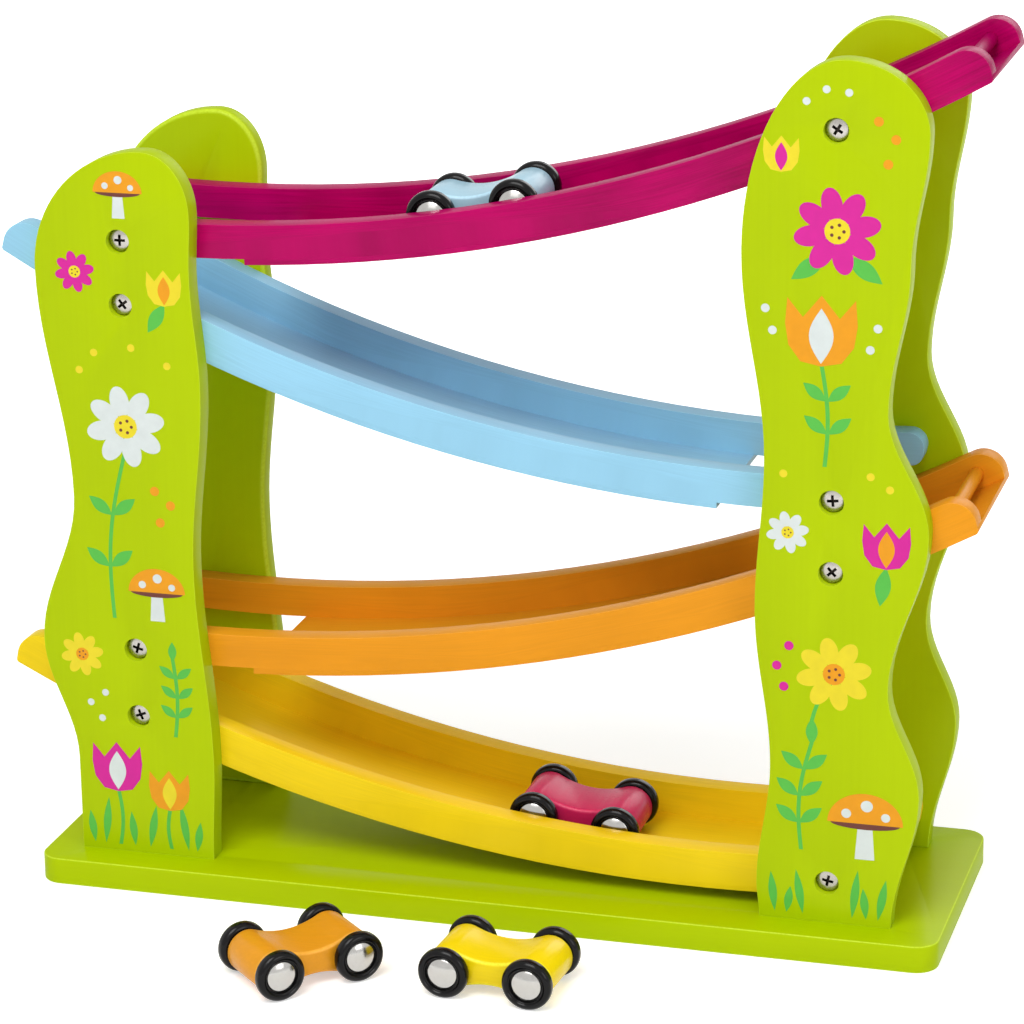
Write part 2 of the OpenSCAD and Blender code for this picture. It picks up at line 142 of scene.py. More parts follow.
def lacquered_wood(name, hex_colour, grain, streak_mm=BOARD_STREAK_MM, depth=0.06, roughness=0.38,
                   bump=0.02, coat=0.18):
    """Lacquer on wood. grain is the axis that the grain runs along, or "attribute" where it is stored.

    streak_mm is how long and how wide a streak is, and depth how far streaks change the colour."""
    material = bpy.data.materials.new(name)
    material.use_nodes = True
    tree = material.node_tree
    shader = tree.nodes["Principled BSDF"]
    shader.inputs["Specular IOR Level"].default_value = 0.01
    shader.inputs["Coat Weight"].default_value = coat
    shader.inputs["Coat Roughness"].default_value = 0.25
    if grain == "attribute":
        place = add(tree, "ShaderNodeAttribute", attribute_name="grain").outputs["Vector"]
    else:
        coordinates = add(tree, "ShaderNodeTexCoord").outputs["Object"]
        place = add(tree, "ShaderNodeVectorMath", {0: coordinates}, {1: (1 / MM, 1 / MM, 1 / MM)},
                    operation="MULTIPLY").outputs[0]
    length, width = streak_mm
    stretch = [1 / width, 1 / width, 1 / width]
    stretch["xyz".index(grain) if grain in "xyz" else 0] = 1 / length
    stretched = add(tree, "ShaderNodeVectorMath", {0: place}, {1: stretch}, operation="MULTIPLY").outputs[0]
    streaks = noise(tree, stretched, 1, 5, 0.6)
    film = noise(tree, place, 0.02, 2, 0.5)
    grit = noise(tree, place, 0.9, 3, 0.6)

    colour = linear(hex_colour)
    dark, light = scaled(colour, 1 - depth), scaled(colour, 1 + depth)
    mixed = add(tree, "ShaderNodeMath", {0: streaks, 1: film}, operation="ADD")
    ramp = add(tree, "ShaderNodeMapRange", {"Value": mixed.outputs[0]}, {"From Min": 0.7, "From Max": 1.3})
    tint = add(tree, "ShaderNodeMix", {"Factor": ramp.outputs[0]}, {6: dark, 7: light}, data_type="RGBA")
    # Painted highlight: the rounded edges take a lighter colour, in patches, in place of a sheen.
    edge_highlight_colour = scaled(colour, EDGE_HIGHLIGHT_GAIN, EDGE_HIGHLIGHT_LIFT)
    edge_highlight_mask = add(tree, "ShaderNodeAttribute", attribute_name="edge_highlight_mask").outputs["Fac"]
    edge_highlight_patches = add(tree, "ShaderNodeMapRange", {"Value": grit},
                 {"From Min": 0.3, "From Max": 0.6, "To Min": 0.5, "To Max": 1.0})
    share = add(tree, "ShaderNodeMath", {0: edge_highlight_mask, 1: edge_highlight_patches.outputs[0]}, operation="MULTIPLY")
    edge_highlighted = add(tree, "ShaderNodeMix", {"Factor": share.outputs[0], 6: tint.outputs[2]}, {7: edge_highlight_colour},
                data_type="RGBA")
    tree.links.new(edge_highlighted.outputs[2], shader.inputs["Base Color"])

    sheen = add(tree, "ShaderNodeMapRange", {"Value": grit},
                {"From Min": 0.3, "From Max": 0.7, "To Min": roughness - 0.05, "To Max": roughness + 0.06})
    tree.links.new(sheen.outputs[0], shader.inputs["Roughness"])
    relief = add(tree, "ShaderNodeMath", {0: streaks, 1: grit}, operation="ADD")
    raised = add(tree, "ShaderNodeBump", {"Height": relief.outputs[0]},
                 {"Strength": 0.35, "Distance": bump * MM})
    tree.links.new(raised.outputs[0], shader.inputs["Normal"])
    return material


lime = lacquered_wood("lime_lacquer_on_board", "#B0C806", "z", depth=0.02, bump=0.008, coat=0.12)
lime_base = lacquered_wood("lime_lacquer_on_base", "#AEC600", "x", depth=0.02, bump=0.008, coat=0.12)
TRACK_COLOURS = {"top": "#AA0057", "upper": "#96CBE6", "lower": "#E6961E", "bottom": "#F2D01A"}
STREAK_DEPTHS = {"top": 0.3, "upper": 0.07, "lower": 0.07, "bottom": 0.07}
track_wood = {track: lacquered_wood(track + "_track_stain", colour, "attribute", TRACK_STREAK_MM,
                                    STREAK_DEPTHS[track])
              for track, colour in TRACK_COLOURS.items()}
CAR_COLOURS = {"blue": "#A8CCDC", "crimson": "#C01E54", "orange": "#E89C20", "yellow": "#F6D80C"}
car_paint = {car: lacquered_wood(car + "_car_lacquer", colour, "x", depth=0.05, roughness=0.3, coat=0.4)
             for car, colour in CAR_COLOURS.items()}
print("wood finishes:", 2 + len(track_wood) + len(car_paint))

# %% [markdown]
# ## Plastic and metal
# The wheels are moulded black plastic, smooth but not a mirror. The axle caps are bright pressed steel,
# and the screws are nickel plated, which reflects a little warmer and duller.

# %% Plastic and metal finishes
# The second colour is painted shade for the hollow of a screw's cross recess.
WORN_SHARE, RECESS_SHADE = 0.86, "#2A2622"


def plain_finish(name, hex_colour, metallic, roughness, spread, scale_mm, ior=None, paint_recess_shade=False):
    """A finish whose roughness wanders by spread over patches of scale_mm.

    The last argument puts painted shade, a darker colour, on the faces that are stored as a recess."""
    material = bpy.data.materials.new(name)
    material.use_nodes = True
    tree = material.node_tree
    shader = tree.nodes["Principled BSDF"]
    shader.inputs["Metallic"].default_value = metallic
    if ior:
        shader.inputs["IOR"].default_value = ior
    place = add(tree, "ShaderNodeTexCoord").outputs["Object"]
    patches = noise(tree, place, 1 / (scale_mm * MM), 4, 0.5)
    low, high = roughness - spread, roughness + spread
    rough = add(tree, "ShaderNodeMapRange", {"Value": patches},
                {"From Min": 0.3, "From Max": 0.7, "To Min": low, "To Max": high})
    tree.links.new(rough.outputs[0], shader.inputs["Roughness"])
    colour = linear(hex_colour)
    worn = scaled(colour, WORN_SHARE)
    tint = add(tree, "ShaderNodeMix", {"Factor": patches}, {6: worn, 7: colour}, data_type="RGBA")
    # Painted shade: the recess faces are darkened.
    if paint_recess_shade:
        recess = add(tree, "ShaderNodeAttribute", attribute_name="recess").outputs["Fac"]
        tint = add(tree, "ShaderNodeMix", {"Factor": recess, 6: tint.outputs[2]}, {7: linear(RECESS_SHADE)},
                   data_type="RGBA")
    tree.links.new(tint.outputs[2], shader.inputs["Base Color"])
    return material


black_plastic = plain_finish("black_moulded_plastic", "#100F10", 0, 0.17, 0.05, 3, 1.28)
bright_steel = plain_finish("bright_pressed_steel", "#C2C0BC", 1, 0.17, 0.05, 2)
nickel = plain_finish("nickel_plated_steel", "#BAB5AF", 1, 0.27, 0.08, 1.5, paint_recess_shade=True)
rod_steel = plain_finish("drawn_steel_rod", "#A8A6A2", 1, 0.35, 0.06, 2)
print("plain finishes: plastic, bright steel, nickel, rod steel")

# %% [markdown]
# ## The layout of the tracks
# All tracks bend on the same radius, so the lowest point of each one's underside, as (x, z) in
# millimetres, gives the screws' places and the direction of the grain.

# %% Track layout
TRACK_R, FLOOR_T, RAIL_H = 686, 2.5, 14.5
LOW_POINTS = {"top": (-132, 278.8), "upper": (133, 186.9), "lower": (-127.7, 96.6), "bottom": (96.3, 17.8)}
SCREW_LINES = (-155.4, 150.8)
POST_FACE, SCREW_SEAT = 50, 45


def screw_height(track, x):
    """Height of the screw that holds a track to the post on the screw line x."""
    low_x, low_z = LOW_POINTS[track]
    middle = TRACK_R - FLOOR_T - RAIL_H / 2
    return low_z + TRACK_R - math.sqrt(middle ** 2 - (x - low_x) ** 2)


SCREWS = [(x, screw_height(track, x)) for x in SCREW_LINES for track in LOW_POINTS]
print("screws on a side:", [(x, round(z, 1)) for x, z in SCREWS])

# %% [markdown]
# ## Rounded wooden edges
# The boards were sanded before they were lacquered, so no edge is sharp. A copy of each solid has its
# triangles merged into whole faces, its sharp edges marked, and a bevel of three segments run along
# them. Hardened normals keep the large faces flat. The rims of the screw holes get a much finer bevel,
# and edges where a rail is glued to its floor stay square, so that no groove shows along the seam.

# %% Softened copies of the wooden solids
NO_LENGTH = 1e-6
FLAT_ANGLE, EDGE_ANGLE = math.radians(0.1), math.radians(28)
HOLE_REACH, SHORT_EDGE, HOLE_SHARE = 7, 0.6, 0.2
BASE_ROUND, POST_ROUND, RAIL_ROUND, STRIP_ROUND, CAR_ROUND = 1.6, 2.0, 1.2, 0.4, 1.5


def plain_mesh(piece):
    """Makes what a piece's modifiers give into its own mesh, without faces that have no area."""
    evaluated = piece.evaluated_get(bpy.context.evaluated_depsgraph_get())
    mesh = bpy.data.meshes.new_from_object(evaluated)
    shape = bmesh.new()
    shape.from_mesh(mesh)
    bmesh.ops.dissolve_degenerate(shape, dist=NO_LENGTH, edges=shape.edges)
    shape.to_mesh(mesh)
    shape.free()
    piece.modifiers.clear()
    piece.data = mesh


def linked(name, mesh):
    piece = bpy.data.objects.new(name, mesh)
    bpy.context.scene.collection.objects.link(piece)
    return piece


def store_edge_highlight_mask(mesh):
    """Stores 1 on the vertices that only touch faces of the bevel, which has the second material slot, to
    mark where the painted edge highlight goes.
    """
    on_flat = {v for face in mesh.polygons if face.material_index == 0 for v in face.vertices}
    edge_highlight_mask = mesh.attributes.new("edge_highlight_mask", "FLOAT", "POINT")
    for vertex, stored in enumerate(edge_highlight_mask.data):
        stored.value = 0 if vertex in on_flat else 1
    for face in mesh.polygons:
        face.material_index = 0


def softened(node, round_mm, material, seam=None):
    """A copy of a solid with rounded edges. seam tells whether a vertex lies on a glued face."""
    shape = bmesh.new()
    shape.from_mesh(nodes[node].data)
    bmesh.ops.remove_doubles(shape, verts=shape.verts, dist=NO_LENGTH)
    bmesh.ops.dissolve_limit(shape, angle_limit=FLAT_ANGLE, verts=shape.verts, edges=shape.edges)
    weight = shape.edges.layers.float.new("bevel_weight_edge")
    for edge in shape.edges:
        if len(edge.link_faces) == 2 and edge.calc_face_angle() > EDGE_ANGLE:
            middle = (edge.verts[0].co + edge.verts[1].co) / 2 / MM
            near = min(math.hypot(middle.x - x, middle.z - z) for x, z in SCREWS)
            fine = near < HOLE_REACH or edge.calc_length() < SHORT_EDGE * MM
            edge[weight] = HOLE_SHARE if fine else 1
            if seam and all(seam(vert.co / MM) for vert in edge.verts):
                edge[weight] = 0
                edge.smooth = False
    for face in shape.faces:
        face.smooth = True
    mesh = bpy.data.meshes.new(node)
    shape.to_mesh(mesh)
    shape.free()
    mesh.materials.append(material)
    mesh.materials.append(material)
    piece = linked("soft_" + node, mesh)
    bevel = piece.modifiers.new("rounded edges", "BEVEL")
    bevel.limit_method = "WEIGHT"
    bevel.width = round_mm * MM
    bevel.segments = 3
    bevel.harden_normals = True
    bevel.material = 1
    plain_mesh(piece)
    store_edge_highlight_mask(piece.data)
    piece.data.materials.pop(index=1)
    return piece


def settle(piece, body, slot, *replaced):
    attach(piece, body)
    if replaced:
        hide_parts(*replaced)


settle(softened("base_board", BASE_ROUND, lime_base), "stand", "green_wood", "base_board")
for side in ("left", "right"):
    for place in ("front", "back"):
        post = f"{side}_{place}_post"
        settle(softened(post, POST_ROUND, lime), "stand", "green_wood", post)
print("base board and posts rounded")

# %% [markdown]
# ## Tracks that carry their grain
# Rails, floors and dowels are stained in the colour of their track. Each vertex stores how far along
# the arc, across and above the track it lies, so the streaks of the stain follow the bend.

# %% Tracks
TRACK_SLOTS = {"top": "magenta_wood", "upper": "sky_wood", "lower": "orange_wood", "bottom": "yellow_wood"}
TRACK_PARTS = {"front_rail": RAIL_ROUND, "back_rail": RAIL_ROUND, "floor": STRIP_ROUND,
               "dowel": STRIP_ROUND}
GLUE_REACH = 0.1


def on_track(point, track):
    """Distance along the track, across it and above its underside, in millimetres."""
    low_x, low_z = LOW_POINTS[track]
    from_centre = Vector((point.x - low_x, low_z + TRACK_R - point.z))
    turn = math.atan2(from_centre.x, from_centre.y)
    return Vector((turn * TRACK_R, point.y, TRACK_R - from_centre.length))


def store_grain(piece, track):
    grain = piece.data.attributes.new("grain", "FLOAT_VECTOR", "POINT")
    for vertex, stored in zip(piece.data.vertices, grain.data):
        stored.vector = on_track(vertex.co / MM, track)


for track in LOW_POINTS:
    def glued(point, track=track):
        return abs(on_track(point, track).z - FLOOR_T) < GLUE_REACH

    for part, round_mm in TRACK_PARTS.items():
        node = f"{track}_{part}"
        piece = softened(node, round_mm, track_wood[track], glued)
        store_grain(piece, track)
        settle(piece, "stand", TRACK_SLOTS[track], node)
print("tracks rounded:", ", ".join(LOW_POINTS))

# %% [markdown]
# ## Car bodies
# A body is sawn from a thick board: two round ends joined by a hollow waist, with sanded edges. It only
# needs the same rounding as the boards.

# %% Car bodies
for car in CAR_COLOURS:
    node = car + "_car_body"
    settle(softened(node, CAR_ROUND, car_paint[car]), car + "_car", car + "_car_wood", node)
print("car bodies rounded:", ", ".join(CAR_COLOURS))

# %% [markdown]
# ## Turned shapes, copied to their places
# Wheels, caps and screw heads are turned about an axis, so each one is drawn once as half a section and
# spun. Geometry Nodes then copy it: the input is a mesh of loose points that store a turn, and the tree
# puts the shape on each point, makes it real and gives it its finish.

# %% Spun shapes and the copying tree
TURNED_EDGE = math.radians(38)


def spun(name, section, segments):
    """A closed shape turned about Z from a section of (radius, height) points in millimetres."""
    shape = bmesh.new()
    line = [shape.verts.new((r * MM, 0, h * MM)) for r, h in section]
    edges = [shape.edges.new(pair) for pair in zip(line, line[1:])]
    if section[0][0] > 0:
        edges.append(shape.edges.new((line[-1], line[0])))
    bmesh.ops.spin(shape, geom=line + edges, cent=(0, 0, 0), axis=(0, 0, 1), angle=2 * math.pi,
                   steps=segments)
    bmesh.ops.remove_doubles(shape, verts=shape.verts, dist=NO_LENGTH)
    bmesh.ops.recalc_face_normals(shape, faces=shape.faces)
    for face in shape.faces:
        face.smooth = True
    mesh = bpy.data.meshes.new(name)
    shape.to_mesh(mesh)
    shape.free()
    mesh.set_sharp_from_angle(angle=TURNED_EDGE)
    return bpy.data.objects.new(name, mesh)


def copying_tree():
    tree = bpy.data.node_groups.new("copies_on_points", "GeometryNodeTree")
    for name, kind in (("Points", "NodeSocketGeometry"), ("Shape", "NodeSocketObject"),
                       ("Finish", "NodeSocketMaterial")):
        tree.interface.new_socket(name, in_out="INPUT", socket_type=kind)
    tree.interface.new_socket("Copies", in_out="OUTPUT", socket_type="NodeSocketGeometry")
    given = add(tree, "NodeGroupInput").outputs
    shape = add(tree, "GeometryNodeObjectInfo", {"Object": given["Shape"]})
    stored = add(tree, "GeometryNodeInputNamedAttribute", values={"Name": "turn"}, data_type="FLOAT_VECTOR")
    turn = add(tree, "FunctionNodeEulerToRotation", {0: stored.outputs[0]})
    copies = add(tree, "GeometryNodeInstanceOnPoints", {
        "Points": given["Points"], "Instance": shape.outputs["Geometry"], "Rotation": turn.outputs[0]})
    real = add(tree, "GeometryNodeRealizeInstances", {0: copies.outputs[0]})
    finished = add(tree, "GeometryNodeSetMaterial", {0: real.outputs[0], "Material": given["Finish"]})
    add(tree, "NodeGroupOutput", {0: finished.outputs[0]})
    return tree


COPIES = copying_tree()
socket_id = {s.name: s.identifier for s in COPIES.interface.items_tree if s.in_out == "INPUT"}


def copied(name, shape, places, finish, spin_step=0.0):
    """One mesh with the shape at each place, given as a point in metres and the way its axis points.

    Each copy is spun about its own axis by spin_step degrees more than the one before."""
    mesh = bpy.data.meshes.new(name)
    mesh.from_pydata([point for point, axis in places], [], [])
    turn = mesh.attributes.new("turn", "FLOAT_VECTOR", "POINT")
    for k, (point, axis) in enumerate(places):
        spin = Quaternion((0, 0, 1), math.radians(spin_step * k))
        turn.data[k].vector = (Vector(axis).to_track_quat("Z", "Y") @ spin).to_euler()
    piece = linked(name, mesh)
    copier = piece.modifiers.new("copies", "NODES")
    copier.node_group = COPIES
    copier[socket_id["Shape"]] = shape
    copier[socket_id["Finish"]] = finish
    plain_mesh(piece)
    return piece


def arc(centre, radius, start, end, steps):
    """Points of an arc in a section."""
    angles = [math.radians(start + (end - start) * k / steps) for k in range(steps + 1)]
    return [(centre[0] + radius * math.cos(a), centre[1] + radius * math.sin(a)) for a in angles]


print("copying tree inputs:", ", ".join(socket_id))

# %% [markdown]
# ## Wheels and caps
# A wheel is a round black tyre with a raised ring and a hollow hub in its outer face. A bright domed cap
# closes the hub. Two wheels and two caps ride on each axle, so each axle gets one mesh of each.

# %% Wheels and caps
WHEEL_R, WHEEL_W, TYRE_R = 10.8, 6, 2.4
WHEEL_Y, HUB_DEPTH, HUB_R, AXLE_R = 14.3, 1.6, 7.2, 1.78
CAP_R, CAP_H, CAP_RIM = 6.6, 2.2, 0.5

tyre_side = WHEEL_R - TYRE_R
wheel_section = (
    [(AXLE_R, 0.5), (4.6, 0.5), (5.0, 0.15), (tyre_side - 1.2, 0.15), (tyre_side - 0.4, 0)]
    + arc((tyre_side, TYRE_R), TYRE_R, -90, 0, 10)
    + arc((tyre_side, WHEEL_W - TYRE_R), TYRE_R, 0, 90, 10)
    + [(tyre_side - 0.25, WHEEL_W - 0.35), (tyre_side - 0.5, WHEEL_W - 0.5),
       (HUB_R + 0.45, WHEEL_W - 0.25), (HUB_R + 0.25, WHEEL_W - 0.3), (HUB_R + 0.05, WHEEL_W - 0.55),
       (HUB_R, WHEEL_W - HUB_DEPTH), (AXLE_R, WHEEL_W - HUB_DEPTH)])
dome_h = CAP_H - CAP_RIM
dome_r = (CAP_R ** 2 + dome_h ** 2) / (2 * dome_h)
dome_lean = math.degrees(math.asin((CAP_R - 0.15) / dome_r))
cap_section = ([(0.0, 0.0), (CAP_R - 0.1, 0.0), (CAP_R, 0.1), (CAP_R, CAP_RIM - 0.1)]
               + [(max(0.0, r), h) for r, h in arc((0, CAP_H - dome_r), dome_r, 90 - dome_lean, 90, 12)])
wheel_shape = spun("wheel_shape", wheel_section, 64)
cap_shape = spun("cap_shape", cap_section, 48)

for car in CAR_COLOURS:
    for end in ("front", "rear"):
        low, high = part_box(f"{car}_{end}_axle")
        centre = (low + high) / 2
        joint = next(j for j in frame["joints"] if j["name"] == f"{car}_{end}_wheels_turn")
        axis = Vector(joint["axis"])
        body = f"{car}_{end}_wheels"
        seats = [(centre + s * axis * WHEEL_Y * MM, s * axis) for s in (-1, 1)]
        wheels = copied(f"{car}_{end}_wheel_pair", wheel_shape, seats, black_plastic)
        settle(wheels, body, "black_plastic", f"{car}_{end}_left_wheel", f"{car}_{end}_right_wheel")
        hub = WHEEL_Y + WHEEL_W - HUB_DEPTH
        seats = [(centre + s * axis * hub * MM, s * axis) for s in (-1, 1)]
        caps = copied(f"{car}_{end}_cap_pair", cap_shape, seats, bright_steel)
        settle(caps, body, "chrome", f"{car}_{end}_caps")
        nodes[f"{car}_{end}_axle"].data.materials.clear()
        nodes[f"{car}_{end}_axle"].data.materials.append(rod_steel)
print("wheels:", len(wheel_shape.data.polygons), "faces each, caps:", len(cap_shape.data.polygons))

# %% [markdown]
# ## Screws
# The track screws have low domed heads with a cross recess, and they sit deep in counterbores. The cross
# is cut with a Boolean: two crossed wedges that narrow towards the bottom, as a driver's tip does. The
# faces of the recess are stored on the mesh, and they get painted shade: the finish is darker there.
# Each screw stopped at a turn of its own.

# %% Screws
HEAD_R, HEAD_H, HEAD_RIM, SHANK_R, SCREW_L, TIP_L = 4.75, 2.4, 1.8, 1.75, 13, 1.5
CROSS_L, CROSS_W, CROSS_DEPTH, CROSS_REACH = 5.6, 1.25, 1.9, 3.2
SCREW_SPIN = 37


def cross_cut(length, width, depth, top):
    """Two crossed wedges for a driver's recess, from a little above top down by depth."""
    shape = bmesh.new()
    for turn in (0, math.pi / 2):
        wedge = bmesh.ops.create_cube(shape, size=1)["verts"]
        for vert in wedge:
            share = 1 if vert.co.z > 0 else 0.45
            corner = Vector((vert.co.x * length * share, vert.co.y * width * (0.6 + 0.4 * share),
                             top + 0.4 if vert.co.z > 0 else top - depth)) * MM
            vert.co = Matrix.Rotation(turn, 3, "Z") @ corner
    mesh = bpy.data.meshes.new("cross_cut")
    shape.to_mesh(mesh)
    shape.free()
    return linked("cross_cut", mesh)


def with_cross(blank, cutter):
    """The blank with the cutter taken away."""
    bpy.context.scene.collection.objects.link(blank)
    cut = blank.modifiers.new("recess", "BOOLEAN")
    cut.object = cutter
    cut.solver = "EXACT"
    cut.use_self = True
    plain_mesh(blank)
    bpy.context.scene.collection.objects.unlink(blank)
    bpy.data.objects.remove(cutter)
    blank.data.set_sharp_from_angle(angle=TURNED_EDGE)
    return blank


dome = HEAD_H - HEAD_RIM
head_r = (HEAD_R ** 2 + dome ** 2) / (2 * dome)
head_lean = math.degrees(math.asin((HEAD_R - 0.25) / head_r))
pan_section = ([(0.0, -SCREW_L), (SHANK_R * 0.6, -SCREW_L), (SHANK_R, TIP_L - SCREW_L), (SHANK_R, 0),
                (HEAD_R - 0.1, 0), (HEAD_R, 0.1), (HEAD_R, HEAD_RIM - 0.15)]
               + [(max(0.0, r), h) for r, h in arc((0, HEAD_H - head_r), head_r, 90 - head_lean, 90, 10)])
pan_screw = with_cross(spun("pan_screw", pan_section, 40), cross_cut(CROSS_L, CROSS_W, CROSS_DEPTH, HEAD_H))
recess = pan_screw.data.attributes.new("recess", "FLOAT", "FACE")
for face, stored in zip(pan_screw.data.polygons, recess.data):
    middle = face.center / MM
    out = middle.xy.length
    dome_z = HEAD_H - head_r + math.sqrt(head_r ** 2 - min(HEAD_R, out) ** 2)
    stored.value = 1 if out < CROSS_REACH and 0 < middle.z < dome_z - 0.1 else 0
places = [(Vector((x, side * SCREW_SEAT, z)) * MM, (0, side, 0)) for side in (-1, 1) for x, z in SCREWS]
track_screws = copied("track_screw_set", pan_screw, places, nickel, SCREW_SPIN)
settle(track_screws, "stand", "steel", "track_screws")
nodes["base_screws"].data.materials.clear()
nodes["base_screws"].data.materials.append(nickel)
print("track screws:", len(places))

# %% [markdown]
# ## Print on the front posts
# The two front posts carry a bright garden print: tulips, daisies, toadstools, sprigs and dots. Each
# motif is a few flat outlines in millimetres on the post's face. An outline becomes a thin closed film,
# and later layers lie a little higher, so that a flower's eye covers its petals. The motifs keep clear of
# the screws and of the wavy edges.

# %% Outlines of the motifs
INKS = {"pale": "#DCE4E2", "green": "#5CBF4C", "yellow": "#EDDA2E", "orange": "#EE9F1E",
        "magenta": "#D8289A", "brown": "#703E37"}
FILM_STEP, FILM_SINK, GROUND = 0.04, 0.3, 15
EYE_TURN = 1.257
films = {ink: [] for ink in INKS}


def draw(ink, layer, outline, x=0.0, z=0.0, turn=0.0):
    """Puts an outline on the face at (x, z), turned by an angle in degrees."""
    c, s = math.cos(math.radians(turn)), math.sin(math.radians(turn))
    films[ink].append((layer, [(x + a * c - b * s, z + a * s + b * c) for a, b in outline]))


def oval(rx, rz, steps=28):
    angles = [2 * math.pi * k / steps for k in range(steps)]
    return [(rx * math.cos(a), rz * math.sin(a)) for a in angles]


def leaf(length, width, steps=14):
    side = [(length * k / steps, width / 2 * math.sin(math.pi * k / steps)) for k in range(steps + 1)]
    return side + [(a, -b) for a, b in reversed(side[1:-1])]


def stem(x, z, top_x, top_z, bow, width=1.7, steps=16):
    shares = [k / steps for k in range(steps + 1)]
    line = [(x + (top_x - x) * t + bow * math.sin(math.pi * t), z + (top_z - z) * t) for t in shares]
    right_edge = [(a + width / 2, b) for a, b in line]
    left_edge = [(a - width / 2, b) for a, b in reversed(line)]
    draw("green", 0, right_edge + left_edge)
    return line


def daisy(x, z, r, ink="pale"):
    for k in range(8):
        turn = 45 * k + 12
        reach = Vector((math.cos(math.radians(turn)), math.sin(math.radians(turn)))) * 0.62 * r
        draw(ink, 1 + 0.3 * (k % 2), oval(0.38 * r, 0.24 * r), x + reach.x, z + reach.y, turn)
    draw("yellow" if ink != "yellow" else "orange", 2, oval(0.29 * r, 0.29 * r), x, z)
    for k in range(5):
        a, b = math.cos(EYE_TURN * k), math.sin(EYE_TURN * k)
        draw("brown", 3, oval(0.04 * r, 0.04 * r, 10), x + 0.15 * r * a, z + 0.15 * r * b)


def tulip(x, z, size, ink, inner):
    half = [(0, 0), (0.3, 0.06), (0.48, 0.3), (0.53, 0.62), (0.5, 1.0), (0.27, 0.72), (0, 1.05)]
    cup = half + [(-a, b) for a, b in reversed(half[1:-1])]
    draw(ink, 1, [(a * size, b * size) for a, b in cup], x, z)
    draw(inner, 2, leaf(0.82 * size, 0.36 * size), x, z + 0.04 * size, 90)


def toadstool(x, z, size):
    stalk = [(-0.13, 0), (0.13, 0), (0.09, 0.55), (-0.09, 0.55)]
    draw("pale", 0, [(a * size, b * size) for a, b in stalk], x, z)
    draw("brown", 1, oval(0.46 * size, 0.08 * size), x, z + 0.5 * size)
    cap = [(0.5 * math.cos(math.pi * k / 20), 0.5 + 0.42 * math.sin(math.pi * k / 20)) for k in range(21)]
    draw("orange", 2, [(a * size, b * size) for a, b in cap], x, z)
    for a, b, r in ((-0.25, 0.63, 0.065), (0.02, 0.75, 0.08), (0.27, 0.61, 0.06)):
        draw("pale", 3, oval(r * size, r * size), x + a * size, z + b * size)


def sprig(x, z, top_x, top_z, bow, size, pairs):
    line = stem(x, z, top_x, top_z, bow)
    for k in range(1, pairs + 1):
        a, b = line[round(len(line) * k / (pairs + 1.3))]
        for side, turn in ((1, 38), (-1, 142)):
            draw("green", 0.5, leaf(size, 0.42 * size), a + 0.3 * side, b, turn)
    draw("green", 0.5, leaf(size, 0.42 * size), top_x, top_z - 1, 90)


def dots(ink, r, *places):
    for x, z in places:
        draw(ink, 1, oval(r, r, 18), x, z)


def grass(middle, *blades):
    """Blades given by their place beside the post's middle, their height and their lean."""
    for x, height, turn in blades:
        draw("green", 0, leaf(height, 3.6), middle + x, GROUND, turn)


print("inks:", ", ".join(INKS))

# %% Layout of the print and its films
LEFT, RIGHT = SCREW_LINES

grass(LEFT, (-23, 15, 97), (-18, 22, 84), (-4, 16, 95), (3, 20, 80), (21, 22, 98), (25, 14, 82))
stem(LEFT - 11, GROUND, LEFT - 11, 41, 1.5)
tulip(LEFT - 11, 40, 22, "magenta", "pale")
stem(LEFT + 13, GROUND, LEFT + 13, 34, -1.2)
tulip(LEFT + 13, 33, 18, "orange", "yellow")
daisy(LEFT - 25, 103, 10, "yellow")
sprig(LEFT + 17, 68, LEFT + 17, 104, 1.5, 9, 3)
dots("pale", 1.6, (LEFT - 17, 74), (LEFT - 22, 81), (LEFT - 15, 86))
sprig(LEFT - 9, 121, LEFT - 1, 196, -4, 13, 2)
daisy(LEFT, 208, 18)
toadstool(LEFT + 11, 121, 26)
dots("orange", 2.1, (LEFT + 14, 166), (LEFT + 19, 174), (LEFT + 12, 180))
dots("yellow", 1.7, (LEFT - 20, 232), (LEFT - 13, 240), (LEFT + 4, 243), (LEFT + 20, 236))
tulip(LEFT + 20, 262, 15, "yellow", "orange")
daisy(LEFT - 20, 275, 9, "magenta")
draw("green", 0, leaf(15, 6), LEFT + 20, 263, 238)
toadstool(LEFT + 1, 299, 22)

grass(RIGHT, (-22, 18, 96), (-17, 12, 82), (-10, 20, 99), (11, 22, 84), (17, 14, 96), (22, 19, 80))
toadstool(RIGHT + 16, 42, 32)
sprig(RIGHT - 11, 44, RIGHT - 7, 92, -3, 12, 3)
daisy(RIGHT + 2, 123, 16, "yellow")
stem(RIGHT - 7, 102, RIGHT + 2, 120, -1.5)
dots("magenta", 2.0, (RIGHT - 19, 116), (RIGHT - 22, 125), (RIGHT - 17, 134))
tulip(RIGHT + 23, 170, 19, "magenta", "orange")
draw("green", 0, leaf(17, 6.5), RIGHT + 23, 171, 262)
daisy(RIGHT - 18, 183, 9)
dots("yellow", 1.7, (RIGHT + 16, 209), (RIGHT + 24, 204), (RIGHT - 20, 208))
sprig(RIGHT - 3, 212, RIGHT - 5, 256, 2, 12, 2)
tulip(RIGHT - 5, 254, 28, "orange", "pale")
dots("pale", 1.8, (RIGHT + 15, 262), (RIGHT + 18, 271), (RIGHT - 25, 268), (RIGHT - 28, 277))
daisy(RIGHT + 1, 310, 18, "magenta")
draw("green", 0, leaf(18, 7), RIGHT - 3, 300, 216)
draw("green", 0, leaf(18, 7), RIGHT + 5, 300, 324)
tulip(RIGHT - 22, 333, 14, "yellow", "magenta")
dots("orange", 2.0, (RIGHT + 21, 338), (RIGHT + 24, 348), (RIGHT + 17, 355))
dots("pale", 1.6, (RIGHT - 12, 362), (RIGHT - 4, 367), (RIGHT + 5, 366))


